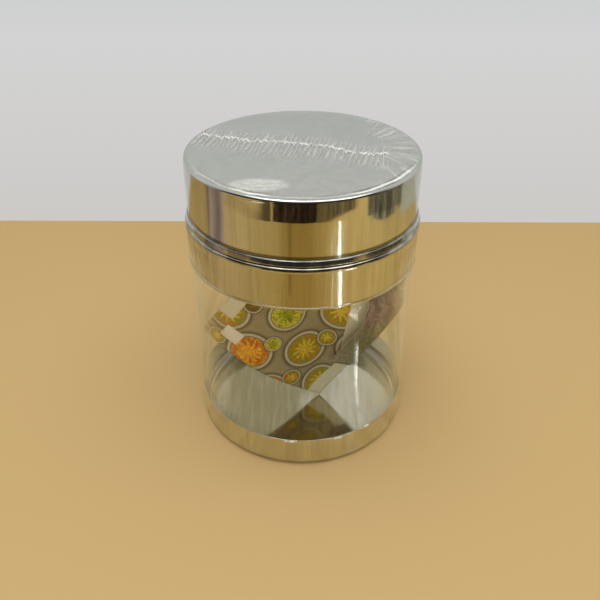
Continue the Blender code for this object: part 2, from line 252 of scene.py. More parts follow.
class Finish:
    """A node tree of a material or of the world, and the ways to add nodes to it."""

    def __init__(self, owner):
        owner.use_nodes = True
        self.owner = owner
        self.tree = owner.node_tree
        self.tree.nodes.clear()

    def node(self, kind, settings=None, inputs=None, output=0):
        """Adds a node: its settings first, then its sockets' values or links."""
        made = self.tree.nodes.new(kind)
        for name, value in (settings or {}).items():
            if name == "stops":
                self.set_stops(made.color_ramp, value)
            else:
                setattr(made, name, value)
        for key, value in (inputs or {}).items():
            if isinstance(value, Value):
                self.tree.links.new(value.socket, made.inputs[key])
            elif hasattr(value, "__len__") and made.inputs[key].type == "RGBA":
                made.inputs[key].default_value = (*value, 1.0)[:4]
            else:
                made.inputs[key].default_value = value
        return Value(self, made.outputs[output]) if made.outputs else None

    def set_stops(self, ramp, stops):
        """Colour stops of a ramp, as (place, colour) pairs."""
        while len(ramp.elements) > 1:
            ramp.elements.remove(ramp.elements[-1])
        ramp.elements[0].position = stops[0][0]
        ramp.elements[0].color = (*stops[0][1], 1.0)
        for place, color in stops[1:]:
            ramp.elements.new(place).color = (*color, 1.0)

    def mix(self, factor, one, other):
        """One colour mixed with another by a factor."""
        return self.node("ShaderNodeMix", {"data_type": "RGBA"}, {0: factor, 6: one, 7: other}, 2)

    def paint(self, color, *coats):
        """A colour under coats, each of them a factor and a colour."""
        for factor, coat in coats:
            color = self.mix(factor, color, coat)
        return color

    def ramp(self, factor, stops, interpolation="LINEAR"):
        """A colour ramp on a factor."""
        ramped = self.node("ShaderNodeValToRGB", {"stops": stops}, {0: factor})
        ramped.socket.node.color_ramp.interpolation = interpolation
        return ramped

    def place(self):
        """Object coordinates in metres."""
        return self.node("ShaderNodeTexCoord", output="Object")

    def parts(self, vector):
        """The three numbers of a vector."""
        split = self.node("ShaderNodeSeparateXYZ", inputs={0: vector})
        return split, split.of("Y"), split.of("Z")

    def vector(self, x, y, z=0.0):
        """A vector of three numbers."""
        return self.node("ShaderNodeCombineXYZ", inputs={0: x, 1: y, 2: z})

    def plan(self):
        """The piece's own map, as two numbers."""
        return self.parts(self.node("ShaderNodeUVMap", {"uv_map": "plan"}))[:2]

    def noise(self, vector, scale, detail=3.0, roughness=0.5, distortion=0.0):
        """Noise texture on a vector."""
        inputs = {"Vector": vector, "Scale": scale, "Detail": detail, "Roughness": roughness}
        return self.node("ShaderNodeTexNoise", inputs={**inputs, "Distortion": distortion})

    def streaks(self, where, width, height, twist=0.0, detail=3.0, roughness=0.5):
        """Noise on a turned piece, `width` round it by `height` up it, turning by `twist` per metre up."""
        x, y, z = self.parts(where)
        if twist:
            turn = z * twist
            x, y = x * turn.cosine() - y * turn.sine(), x * turn.sine() + y * turn.cosine()
        return self.noise(
            self.vector(x * (1.0 / width), y * (1.0 / width), z * (1.0 / height)), 1.0,
            detail=detail, roughness=roughness,
        )

    def bump(self, height, distance):
        """A Bump node for Normal sockets."""
        return self.node("ShaderNodeBump", inputs={"Strength": 1.0, "Distance": distance, "Height": height})

    def principled(self, color, roughness, **others):
        """A Principled shader. The names of other sockets have _ for a space."""
        inputs = {"Base Color": color, "Roughness": roughness}
        inputs.update({name.replace("_", " "): value for name, value in others.items()})
        return self.node("ShaderNodeBsdfPrincipled", inputs=inputs)

    def clear_skin(self, see_through, gloss_color, roughness, normal, face_on, most=1.0):
        """A see-through shader under a gloss. Its share is Schlick's: f + (1 - f)(1 - cos)^5."""
        facing = self.node("ShaderNodeLayerWeight", inputs={"Blend": 0.5, "Normal": normal}, output="Facing")
        share = (facing ** 5.0 * (1.0 - face_on) + face_on).least(most)
        gloss = self.lit("BsdfGlossy", gloss_color, Roughness=roughness, Normal=normal)
        return self.blend(share, see_through, gloss)

    def lit(self, kind, color, **others):
        """A shader of a kind with a colour."""
        return self.node("ShaderNode" + kind, inputs={"Color": color, **others})

    def blend(self, share, one, other):
        """One shader mixed with another by a share."""
        return self.node("ShaderNodeMixShader", inputs={0: share, 1: one, 2: other})

    def end(self, shader):
        """Links a shader to the material's output."""
        self.node("ShaderNodeOutputMaterial", inputs={"Surface": shader})
        return self.owner


def finish(name):
    """A new material's Finish."""
    return Finish(bpy.data.materials.new(name))


def span(x, y):
    """Length of a vector on plan."""
    return (x * x + y * y).root()


def front_turn(x, y):
    """Angle round Z in degrees: none at the front, and growing to the right."""
    return x.angle_to(y * -1.0) * (180.0 / math.pi)


def srgb(red, green, blue):
    """A screen colour of 0 to 255 as a linear colour."""
    value = np.array([red, green, blue]) / 255.0
    linear = np.where(value > 0.04045, ((value + 0.055) / 1.055) ** 2.4, value / 12.92)
    return tuple(float(part) for part in linear)


def tones(*stops):
    """Ramp stops from places and screen colours of 0 to 255."""
    return [(place, srgb(*color)) for place, *color in stops]


# Finishes

def steel(name, color, roughness, painted_floor_tints=None, shaded_ledge=None):
    """Mirror-polished sheet steel: soft pressing waves, fine upright polishing lines, faint smudges.

    The floor tints are a pair for the inside of a floor, which is duller than the wall: a painted
    reflection, darker to the left and paler to the right. The ledge is a pair of heights between which the
    steel is rolled, with painted shade there, broken in patches."""
    f = finish(name)
    where = f.place()
    waves = f.noise(where, 38.0, detail=1.0)
    lines = f.streaks(where, 0.9 * MM, 33.0 * MM, detail=4.0, roughness=0.65)
    bands = f.streaks(where, 4.5 * MM, 90.0 * MM, detail=2.0)
    smudge = f.noise(where, 55.0, detail=5.0, roughness=0.6, distortion=0.6).ease(0.42, 0.72)
    polish = f.noise(where, 900.0, detail=2.0)
    height = waves * 0.14 + lines * 0.012 + polish * 0.0004
    worn = smudge * 0.2 + lines.ease(0.36, 0.64) * 0.45 + bands.ease(0.38, 0.62) * 0.35
    tint = f.mix(worn, color, tuple(0.84 * part for part in color))
    rough = smudge * 0.03 + lines * 0.012 + roughness
    x, y, z = f.parts(where)
    if painted_floor_tints:
        inside = z.ease(0.25 * MM, 0.45 * MM)
        inside = inside * (1.0 - span(x, y).ease(BASE_RADIUS - 4.0 * MM, BASE_RADIUS - 2.0 * MM))
        # Painted reflection on the inner floor: darker to the left, paler to the right, streaked, and paler
        # again at the far left
        painted_reflection = (x + (waves - 0.5) * (30.0 * MM)).ease(-8.0 * MM, 26.0 * MM)
        reflection_streaks = f.noise(f.vector(x * 330.0, y * 45.0), 1.0, detail=4.0, roughness=0.6)
        painted_reflection = painted_reflection + (reflection_streaks.ease(0.35, 0.65) - 0.5) * 0.35 + x.ease(-46.0 * MM, -34.0 * MM, 0.5, 0.0)
        tint = f.mix(inside, tint, f.mix(painted_reflection.most(0.0).least(1.0), *painted_floor_tints))
        rough = rough + inside * 0.07
    if shaded_ledge:
        # Painted shade on the rolled hem, broken in patches where glints show
        ledge_shade = z.within(shaded_ledge[0] - 0.2 * MM, shaded_ledge[0], shaded_ledge[1], shaded_ledge[1] + 0.2 * MM)
        glint = f.streaks(where, 9.0 * MM, 90.0 * MM, detail=2.0).ease(0.42, 0.62)
        tint = f.mix(ledge_shade * (0.6 - glint * 0.5), tint, (0.16, 0.16, 0.13))
    return f.end(f.principled(tint, rough, Metallic=1.0, Normal=f.bump(height, 1.0 * MM)))


def clear_plastic(name):
    """Clear tube wall: see-through face on, mirroring at the edges, with faint scuffs."""
    f = finish(name)
    where = f.place()
    ripple = f.streaks(where, 6.0 * MM, 40.0 * MM, detail=2.0)
    scuffs = f.noise(where, 240.0, detail=6.0, roughness=0.7).ease(0.55, 0.8)
    normal = f.bump(ripple, 0.12 * MM)
    clear = f.lit("BsdfTransparent", (0.996, 0.998, 0.99))
    walled = f.clear_skin(clear, (0.95, 0.96, 0.95), 0.012, normal, 0.008)
    return f.end(f.blend(scuffs * 0.008 + 0.0006, walled, f.principled((0.82, 0.82, 0.8), 0.35)))


def seal_rubber(name):
    """Greyish see-through rubber, matt, with a fine moulding grain."""
    f = finish(name)
    where = f.place()
    mottle = f.noise(where, 160.0)
    grain = f.noise(where, 1400.0, detail=2.0)
    color = f.mix(mottle, srgb(186, 186, 178), srgb(206, 205, 196))
    return f.end(f.principled(color, grain * 0.2 + 0.45, Normal=f.bump(grain, 0.05 * MM)))


def film_shader(f, normal, haze_and_glints, roughness, face_on, shadow=0.0):
    """Shrink film: clear, mirroring by the angle, milky where it is cloudy or carries painted glints,
    and darker by a mask of painted shade in its folds.
    """
    flat, painted_fold_lines = (f.lit("BsdfTransparent", color) for color in ((0.998, 0.998, 0.996), (0.3, 0.3, 0.24)))
    clear = f.blend(shadow, flat, painted_fold_lines)
    skin = f.clear_skin(clear, (0.96, 0.96, 0.96), roughness, normal, face_on, 0.92)
    return f.blend(haze_and_glints.least(0.95), skin, f.principled((0.95, 0.95, 0.87), 0.3, Normal=normal))


# Steel pieces

def base_cup():
    """Pressed cup: flat floor, round corner, straight wall with a rounded rim."""
    inner = BASE_RADIUS - STEEL
    corner = BASE_RADIUS - BASE_CORNER
    rim = STEEL / 2
    outline = np.vstack([
        [(0.0, STEEL)],
        arc(corner, BASE_CORNER, BASE_CORNER - STEEL, -90.0, 0.0),
        arc(inner + rim, BASE_TOP - rim, rim, 180.0, 0.0),
        arc(corner, BASE_CORNER, BASE_CORNER, 0.0, -90.0),
        [(0.0, 0.0)],
    ])
    return turned("base_shell", outline)


def clear_tube():
    """Straight plastic cylinder with its edges broken."""
    edge = TUBE_WALL / 4
    low, high = tube_low.z, tube_high.z
    outline = [
        (TUBE_OUTER - edge, high), (TUBE_OUTER, high - edge), (TUBE_OUTER, low + edge),
        (TUBE_OUTER - edge, low), (TUBE_INNER + edge, low), (TUBE_INNER, low + edge),
        (TUBE_INNER, high - edge), (TUBE_INNER + edge, high),
    ]
    return turned("window_tube", outline)


def neck_collar():
    """Pressed ring: hemmed neck, rolled shoulder, and a skirt with a hemmed lower edge."""
    inner = BASE_RADIUS - STEEL
    neck_inner = NECK_RADIUS - STEEL
    proud = BASE_RADIUS + ROLL_PROUD
    roll = proud - SHOULDER_ROLL
    roll_end = math.degrees(math.acos((BASE_RADIUS - roll) / SHOULDER_ROLL))
    hem_top = SKIRT_BOTTOM + SKIRT_HEM_HEIGHT
    under = SHOULDER_TOP - STEEL
    outline = np.vstack([
        arc(neck_inner, NECK_TOP - STEEL, STEEL, 180.0, 0.0),
        [(NECK_RADIUS, SHOULDER_TOP)],
        arc(roll, SHOULDER_TOP - SHOULDER_ROLL, SHOULDER_ROLL, 90.0, -roll_end),
        [(BASE_RADIUS, hem_top + ROLL_PROUD), (proud, hem_top)],
        arc(BASE_RADIUS, SKIRT_BOTTOM + ROLL_PROUD, ROLL_PROUD, 0.0, -90.0),
        [(inner, SKIRT_BOTTOM)],
        arc(inner - SHOULDER_FILLET, under - SHOULDER_FILLET, SHOULDER_FILLET, 0.0, 90.0),
        [(neck_inner, under), (neck_inner, NECK_TOP - NECK_HEM_HEIGHT)],
        [(neck_inner - STEEL, NECK_TOP - NECK_HEM_HEIGHT + STEEL)],
    ])
    return turned("collar_shell", outline)


def lid_hem(off=0.0, end=-90.0):
    """The lid's outer line at its hem, moved out by `off`: a fillet, a small roll, a leaning face and
    a larger roll down to the angle `end`."""
    inner = LID_RADIUS + LID_HEM_FILLET
    outer = LID_RADIUS + LID_HEM_PROUD - LID_HEM_LOW_ROLL
    top, low = LID_SEAT + LID_HEM_HEIGHT, LID_SEAT + LID_HEM_LOW_ROLL
    return np.vstack([
        arc(inner, top + LID_HEM_FILLET, LID_HEM_FILLET - off, 180.0, 270.0),
        arc(inner, top - LID_HEM_TOP_ROLL, LID_HEM_TOP_ROLL + off, 80.0, LID_HEM_LEAN),
        arc(outer, low, LID_HEM_LOW_ROLL + off, LID_HEM_LEAN, end),
    ])


def lid_cap():
    """Pressed lid: flat top, round corner, slightly drawn-in wall and a rolled hem."""
    corner = LID_RADIUS - LID_DRAW - LID_CORNER
    corner_height = LID_TOP - LID_CORNER
    draw_start = LID_TOP - LID_DRAW_HEIGHT
    inner = LID_RADIUS - STEEL
    outline = np.vstack([
        [(0.0, LID_TOP)],
        arc(corner, corner_height, LID_CORNER, 90.0, 0.0, steps=12),
        [(LID_RADIUS, draw_start)],
        lid_hem(),
        [(inner, LID_SEAT), (inner, draw_start)],
        arc(corner, corner_height, LID_CORNER - STEEL, 0.0, 90.0),
        [(0.0, LID_TOP - STEEL)],
    ])
    return turned("lid_shell", outline)


# Leaflet: a sheet bent round a plan line from wall to wall, with a flap that widens towards the top

LEAFLET = 0.4 * MM
LEAFLET_TILT = math.radians(54.0)
LEAFLET_REACH_SHARE = 0.85
PLAN_TIP_SHARE = (0.19, -0.06)
PLAN_SHARES = (
    (-0.995, -0.07), (-0.84, -0.17), (-0.64, -0.23), (-0.36, -0.25), (-0.10, -0.18), PLAN_TIP_SHARE,
    (0.44, -0.055), (0.72, -0.08), (0.90, -0.11), (0.98, -0.20), (0.91, -0.415), (0.766, -0.643),
    (0.56, -0.83), (0.26, -0.966),
)
PLAN_SPAN_STEPS = 24
FOLD_BOW = 8.0 * MM
FLAP_START = 27.0 * MM
FLAP_WIDTH = 14.0 * MM
FLAP_TAPER_SHARE = -0.04
FLAP_FOLD = math.radians(152.0)
FLAP_FOLD_TOP = math.radians(110.0)
FLAP_BEND = 0.8 * MM
STICKER = 0.12 * MM
STICKER_LENGTH = 10.0 * MM
STICKER_WIDTH = 8.0 * MM
STICKER_PLACE_SHARES = (0.83, 0.12)
STICKER_STEPS = 13


class PlanLine:
    """The leaflet's line on plan, as a smooth curve through PLAN_SHARES held in by the tube's wall.

    Between two marks it is a cubic: start, end, and their slopes, which are half the step between the
    marks on either side.
    """

    def __init__(self):
        reach = TUBE_INNER - GAP - LEAFLET / 2
        marks = np.array(PLAN_SHARES) * reach
        before = np.vstack([marks[:1], marks[:-2]])
        after = np.vstack([marks[2:], marks[-1:]])
        start, end = marks[:-1], marks[1:]
        start_slope, end_slope = (end - before) / 2.0, (after - start) / 2.0
        t = np.linspace(0.0, 1.0, PLAN_SPAN_STEPS, endpoint=False)[None, :, None]
        spans = (
            (2 * t**3 - 3 * t**2 + 1) * start[:, None] + (t**3 - 2 * t**2 + t) * start_slope[:, None]
            + (3 * t**2 - 2 * t**3) * end[:, None] + (t**3 - t**2) * end_slope[:, None]
        )
        places = np.vstack([spans.reshape(-1, 2), marks[-1:]])
        radius = np.linalg.norm(places, axis=1, keepdims=True)
        self.places = places * np.minimum(1.0, reach / radius)
        steps = np.linalg.norm(np.diff(self.places, axis=0), axis=1)
        distance = np.concatenate([[0.0], np.cumsum(steps)])
        self.distance = distance - distance[PLAN_SHARES.index(PLAN_TIP_SHARE) * PLAN_SPAN_STEPS]
        self.slopes = np.gradient(self.places, self.distance, axis=0)

    def at(self, distance):
        """Place, direction and forward normal at distances from the tip, as arrays of 3-D vectors."""
        level = np.zeros_like(distance)
        place, slope = (
            np.stack([*(np.interp(distance, self.distance, line) for line in table.T), level], -1)
            for table in (self.places, self.slopes)
        )
        slope /= np.linalg.norm(slope, axis=-1, keepdims=True)
        forward = np.stack([slope[..., 1], -slope[..., 0], level], -1)
        return place, slope, forward


plan = PlanLine()
SHEET_WIDTH = -plan.distance[0] / math.sin(LEAFLET_TILT)
SHEET_TOP = LEAFLET_REACH_SHARE * (LID_TOP - 2 * STEEL)
SHEET_LENGTH = (SHEET_TOP - SHEET_WIDTH * math.cos(LEAFLET_TILT)) / math.sin(LEAFLET_TILT)


def plan_distance(across, along):
    """Distance on plan from the tip, for a place on the tilted sheet."""
    return along * math.cos(LEAFLET_TILT) - across * math.sin(LEAFLET_TILT)


def sheet_points(across, along, lift=0.0):
    """Places on the sheet: on the plan line, and as high as the tilted sheet is there."""
    place, _, forward = plan.at(plan_distance(across, along))
    height = STEEL + GAP + along * math.sin(LEAFLET_TILT) + across * math.cos(LEAFLET_TILT)
    points = place + forward * lift
    points[..., 2] += height
    return points


def flap_points(along, reach, bend_share):
    """Places on the flap: past its bend by reach, or on the bend at a share of its angle.

    The fold bows in by the cube of the way up the sheet and opens by the cube of the way up the fold.
    """
    way = along / SHEET_LENGTH
    inset = FOLD_BOW * way**3
    turn = np.arctan(3.0 * FOLD_BOW / SHEET_LENGTH * way**2)
    opening = ((along - FLAP_START) / (SHEET_LENGTH - FLAP_START)) ** 3
    angle = ((FLAP_FOLD + (FLAP_FOLD_TOP - FLAP_FOLD) * opening) * bend_share)[..., None]
    _, direction, forward = plan.at(plan_distance(inset, along))
    tilt = (LEAFLET_TILT + turn)[..., None]
    outward = direction * np.sin(tilt) - np.array([0.0, 0.0, 1.0]) * np.cos(tilt)
    bend = (outward * np.sin(angle) + forward * (1.0 - np.cos(angle))) * FLAP_BEND
    run = (outward * np.cos(angle) + forward * np.sin(angle)) * reach[..., None]
    return sheet_points(inset, along) + bend + run


SHEET_ROWS = 72
SHEET_COLUMNS = 72
BEND_COLUMNS = 6
FLAP_COLUMNS = 14


def thicken(sheet, thickness):
    """Gives a sheet a thickness, half to each side."""
    wall = sheet.modifiers.new("thickness", "SOLIDIFY")
    wall.thickness = thickness
    wall.offset = 0.0
    return wall


def leaflet():
    """Sheet and folded flap, then a thickness. The map holds across and along in metres, with the
    flap's across below zero."""
    low_rows = SHEET_ROWS // 3
    high = np.linspace(FLAP_START, SHEET_LENGTH, SHEET_ROWS - low_rows)
    rows = np.concatenate([np.linspace(0.0, FLAP_START, low_rows, endpoint=False), high])
    along = rows[:, None] + np.zeros(SHEET_COLUMNS)
    inset = FOLD_BOW * (along / SHEET_LENGTH) ** 3
    across = inset + (SHEET_WIDTH - inset) * np.linspace(1.0, 0.0, SHEET_COLUMNS)
    body = sheet_points(across, along)
    body_cells = grid_faces(*along.shape)

    steps = np.linspace(0.0, 1.0, BEND_COLUMNS)
    bend_share = np.concatenate([steps, np.ones(FLAP_COLUMNS)])
    reach_share = np.concatenate([0.0 * steps, np.arange(1, FLAP_COLUMNS + 1) / FLAP_COLUMNS])
    flap_along = high[:, None] + 0.0 * bend_share
    flap_width = FLAP_WIDTH - FLAP_TAPER_SHARE * (flap_along - FLAP_START)
    reach = flap_width * reach_share
    flap = flap_points(flap_along, reach, bend_share + 0.0 * flap_along)
    flap_across = FOLD_BOW * (flap_along / SHEET_LENGTH) ** 3 - reach - FLAP_BEND * bend_share
    flap_cells = grid_faces(*flap_along.shape)

    made = mesh_object(
        "leaflet_sheet",
        [(body, body_cells, np.stack([across, along], -1)),
         (flap, flap_cells, np.stack([flap_across, flap_along], -1))],
        sharp=180.0, outward=False,
    )
    wall = thicken(made, LEAFLET)
    wall.material_offset = 1
    wall.material_offset_rim = 2
    return made


def sticker():
    """Small blank label on the sheet's face."""
    step = np.linspace(-0.5, 0.5, STICKER_STEPS)
    along = SHEET_LENGTH * STICKER_PLACE_SHARES[1] + STICKER_WIDTH * step[:, None]
    across = SHEET_WIDTH * STICKER_PLACE_SHARES[0] + STICKER_LENGTH * step[None, ::-1]
    across, along = np.broadcast_arrays(across, along)
    points = sheet_points(across, along, lift=LEAFLET / 2 + STICKER)
    made = mesh_object(
        "blank_sticker", [(points, grid_faces(*along.shape), np.stack([across, along], -1))],
        sharp=180.0, outward=False,
    )
    thicken(made, STICKER)
    return made


# Generic print: a turned lattice of rosettes on round plates, large and small in turn
PRINT_PITCH = 26.0 * MM
PRINT_TURN = math.radians(33.0)
PRINT_SHIFT = (4.0 * MM, 9.0 * MM)
PRINT_COLORS = (
    ((222, 112, 14), (150, 150, 18), (112, 74, 16), (196, 176, 44), (214, 138, 22)),
    ((176, 70, 8), (206, 190, 60), (74, 70, 16), (98, 112, 14), (166, 62, 10)),
    ((240, 160, 50), (84, 96, 10), (150, 120, 44), (204, 98, 16), (226, 192, 60)),
)
# Unprinted: a margin along the fold, narrower up the sheet and then wider on a slant, and a corner
MARGIN_FOOT = 8.7 * MM
MARGIN_NARROWING = 0.12
SLANT_FOOT = -5.7 * MM
SLANT_WIDENING = 0.5
BLANK_CORNER = (70.0 * MM, 19.0 * MM)
PRINT_EDGE = 0.4 * MM


def rosettes(f, across, along, shift, biggest):
    """Distance, as a share of the size, angle and chance of a lattice of round rosettes."""
    a = across * math.cos(PRINT_TURN) + along * math.sin(PRINT_TURN) + (PRINT_SHIFT[0] + shift)
    b = along * math.cos(PRINT_TURN) - across * math.sin(PRINT_TURN) + (PRINT_SHIFT[1] + shift)
    row = (b / PRINT_PITCH).floor()
    stagger = (row * 0.5 - (row * 0.5).floor()) * PRINT_PITCH
    column = ((a + stagger) / PRINT_PITCH).floor()
    x = a + stagger - (column + 0.5) * PRINT_PITCH
    y = b - (row + 0.5) * PRINT_PITCH
    cell = f.vector(column + 0.37, row + 0.61)
    chance = f.node("ShaderNodeTexWhiteNoise", {"noise_dimensions": "2D"}, {"Vector": cell})
    size = biggest * (0.74 + 0.26 * chance)
    return span(x, y) / size, y.angle_to(x), chance


def leaflet_face(name):
    """Printed face: warm grey ground with rosettes on pale plates, and unprinted margins."""
    f = finish(name)
    across, along = f.plan()
    where = f.vector(across, along)
    ground = f.mix(f.noise(where, 45.0, detail=4.0), srgb(110, 93, 57), srgb(164, 148, 110))
    grain = f.noise(where, 620.0, roughness=0.7)
    pieces = f.noise(where, 540.0, detail=2.0, roughness=0.6, distortion=1.5)
    color = ground
    for shift, size, petals in ((0.0, 0.41, 11.0), (0.5, 0.19, 7.0)):
        distance, turn, chance = rosettes(f, across, along, shift * PRINT_PITCH, size * PRINT_PITCH)
        petal = (turn * petals + distance * 3.0).sine() * 0.5 + 0.5
        wobble = distance + grain * 0.05 - 0.025
        shadow = 1.0 - wobble.ease(1.12, 1.4)
        plate = 1.0 - wobble.ease(1.11, 1.15)
        well = 1.0 - wobble.ease(0.97, 1.01)
        inside = 1.0 - wobble.ease(0.90, 0.94)
        first, second, third = (
            f.ramp(chance, [(kind / len(row), srgb(*tone)) for kind, tone in enumerate(row)], "CONSTANT")
            for row in PRINT_COLORS
        )
        leaf = (wobble + petal * 0.4).ease(0.6, 0.78)
        filling = f.paint(
            f.mix((leaf * 0.8 + (pieces - 0.5) * 1.2).most(0.0).least(1.0), first, second),
            (pieces.ease(0.52, 0.6) * 0.85, third), ((grain - 0.47).most(0.0) * 1.8, srgb(60, 44, 10)),
        )
        color = f.paint(
            color, (shadow * 0.8, srgb(60, 48, 26)), (plate * 0.85, srgb(188, 176, 142)),
            (well * 0.8, srgb(92, 78, 46)), (inside, filling),
        )
    blank = (MARGIN_FOOT - along * MARGIN_NARROWING).most(along * SLANT_WIDENING + SLANT_FOOT)
    margin = 1.0 - (across - blank).ease(-PRINT_EDGE / 2, PRINT_EDGE / 2)
    side, foot = BLANK_CORNER
    corner = across.ease(side - PRINT_EDGE, side) * along.ease(foot - PRINT_EDGE, foot)
    color = f.mix(margin.most(corner), color, f.mix(grain, srgb(180, 170, 136), srgb(206, 197, 164)))
    normal = f.bump(grain, 0.03 * MM)
    return f.end(f.principled(color, grain * 0.1 + 0.34, Normal=normal, Specular_IOR_Level=0.15))


BACK_TONES = tones((0.30, 54, 54, 34), (0.45, 102, 99, 66), (0.56, 80, 76, 52), (0.72, 142, 136, 104))


def leaflet_back(name):
    """Back of the sheet: dark grey-olive with slanted streaks, green in the middle, purple at the top."""
    f = finish(name)
    across, along = f.plan()
    where = f.vector(across, along)
    slanted = f.vector(across * 260.0 + along * 40.0, along * 55.0)
    streak = f.noise(slanted, 1.0, detail=5.0, roughness=0.65)
    mottle = f.noise(where, 260.0, detail=4.0, roughness=0.65)
    cloud = (f.noise(where, 60.0, detail=2.0) - 0.5) * (22.0 * MM)
    green = (along + cloud).within(44.0 * MM, 54.0 * MM, 58.0 * MM, 68.0 * MM)
    purple = (along + cloud - across * 1.2).ease(58.0 * MM, 72.0 * MM)
    fleck = f.noise(where, 520.0, detail=4.0, roughness=0.7)
    color = f.paint(
        f.ramp(streak, BACK_TONES),
        (green * 0.6, f.mix(streak.ease(0.4, 0.6), srgb(84, 84, 40), srgb(136, 132, 76))),
        (purple * 0.75, f.mix(streak.ease(0.38, 0.62), srgb(84, 54, 64), srgb(132, 100, 106))),
        (fleck.ease(0.5, 0.68) * 0.4, srgb(168, 158, 124)),
        (fleck.ease(0.34, 0.48, 0.45, 0.0), srgb(48, 44, 26)),
    )
    normal = f.bump(mottle, 0.04 * MM)
    return f.end(f.principled(color, mottle * 0.12 + 0.3, Normal=normal, Specular_IOR_Level=0.25))


def paper(name, color, darker):
    """Plain paper with fibres."""
    f = finish(name)
    where = f.place()
    fibre = f.noise(where, 1500.0, detail=4.0, roughness=0.7, distortion=0.8)
    cloud = f.noise(where, 180.0)
    tint = f.mix((fibre * 0.5 + cloud * 0.5).ease(0.35, 0.65), color, darker)
    return f.end(f.principled(tint, fibre * 0.15 + 0.5, Normal=f.bump(fibre, 0.02 * MM)))


# Shrink film over the lid

FILM = 0.04 * MM
FILM_OFF = 0.1 * MM
FILM_RINGS = 92
FILM_WALL_STEPS = 24
FILM_INNER_RINGS = 12
FILM_INNER_WALL_STEPS = 6
FILM_AROUND = 480
FILM_CORNER_START = 82.0
FILM_HEM_END = -32.0
FILM_SHARP = 60.0
FAN_MIDDLE = (24.0 * MM, 4.0 * MM)
BULGE_MIDDLE = (-17.0 * MM, -37.0 * MM)
WRINKLE_PITCH = 2.1 * MM
RIM_FOLD_PITCH = 1.6 * MM
SEAM_START = -49.0 * MM
SEAM_END = 36.5 * MM
SEAM = np.array([
    (-49.4, 21.3), (-46.1, 17.5), (-37.1, 13.8), (-30.7, 12.6), (-23.8, 9.0), (-15.4, 9.1), (-10.0, 7.9),
    (-1.2, 5.6), (6.6, 3.9), (12.2, 2.2), (18.1, -2.4), (25.9, -5.6), (32.2, -6.1), (35.8, -4.5),
]) * MM


def seam_place(x):
    """The weld's y for each x, straight between its points and past its ends."""
    return np.interp(x, SEAM[:, 0], SEAM[:, 1])


def film_lift(x, y):
    """How far the film stands off the flat top: low folds fanning to the right rim, a bulge at the
    front left, and a ridge along the weld."""
    from_seam = y - seam_place(x)
    weld = np.exp(-(from_seam / (0.8 * MM)) ** 2) * np.clip((SEAM_END - x) / (2.0 * MM), 0.0, 1.0)
    from_fan = y - FAN_MIDDLE[1], x - FAN_MIDDLE[0]
    turn, distance = np.arctan2(*from_fan), np.hypot(*from_fan)
    fan = np.exp(-((turn - 0.5) / 0.75) ** 2) * np.clip((distance - 9.0 * MM) / (12.0 * MM), 0.0, 1.0)
    folds = fan * (0.5 + 0.5 * np.sin(turn * 17.0 + 0.8 * np.sin(turn * 5.0)))
    across, along = (x - BULGE_MIDDLE[0]) / (11.0 * MM), (y - BULGE_MIDDLE[1]) / (6.0 * MM)
    bulge = np.exp(-across**2 - along**2)
    slow = 0.5 + 0.25 * np.sin(x / (9.0 * MM) + 1.3) + 0.25 * np.sin(y / (7.0 * MM) + x / (16.0 * MM))
    return MM * (0.05 * weld + 0.6 * folds + 0.35 * bulge + 0.1 * slow)


def lid_film():
    """A closed skin: the outer side has the folds, and the inner side is plain and coarser.

    The side goes from the top's middle, over the corner, down the wall and round the hem."""
    corner = LID_RADIUS - LID_DRAW - LID_FILM_CORNER

    def side(off, rings, wall_steps):
        hem_top = LID_SEAT + LID_HEM_HEIGHT + LID_HEM_FILLET
        top = np.column_stack([np.linspace(0.0, corner, rings), np.full(rings, LID_TOP + off)])
        wall_height = np.linspace(LID_TOP - LID_DRAW_HEIGHT, hem_top + SUPPORT, wall_steps)
        wall = np.column_stack([np.full(wall_steps, LID_RADIUS + off), wall_height])
        turn = arc(corner, LID_TOP - LID_FILM_CORNER, LID_FILM_CORNER + off, FILM_CORNER_START, 0.0)
        return np.vstack([top, turn, wall, lid_hem(off, FILM_HEM_END)])

    outer = side(FILM_OFF + FILM, FILM_RINGS, FILM_WALL_STEPS)
    inner = side(FILM_OFF, FILM_INNER_RINGS, FILM_INNER_WALL_STEPS)
    angle, radius, height = round_z(np.vstack([outer, inner[::-1]]), FILM_AROUND)
    row = np.arange(len(radius))[:, None]
    x, y = radius * np.cos(angle), radius * np.sin(angle)
    fade = np.clip((corner + 0.3 * MM - radius) / (3.0 * MM), 0.0, 1.0)
    lift = np.where(row < FILM_RINGS, film_lift(x, y) * fade, 0.0)
    rippled = (row >= FILM_RINGS + ARC_STEPS) & (row < len(outer))
    swell = 1.0 + ripples(angle, height, 1.0) * rippled / np.maximum(radius, MM)
    uv = np.stack([x, y - seam_place(x)], -1)
    return swept("lid_film_skin", angle, radius * swell, height + lift, FILM_SHARP, uv)


def ripples(angle, height, share):
    """Slight shrink ripples in a film's radius: upright waves whose phase drifts with the height."""
    upright = np.sin(angle * 23.0 + 2.0 * np.sin(angle * 3.0)) * 0.5
    upright = upright + np.sin(angle * 41.0 + height * 60.0) * 0.3
    slanted = np.sin(angle * 13.0 + height * 210.0) * 0.35
    return 0.035 * MM * share * (upright + slanted + 1.15)


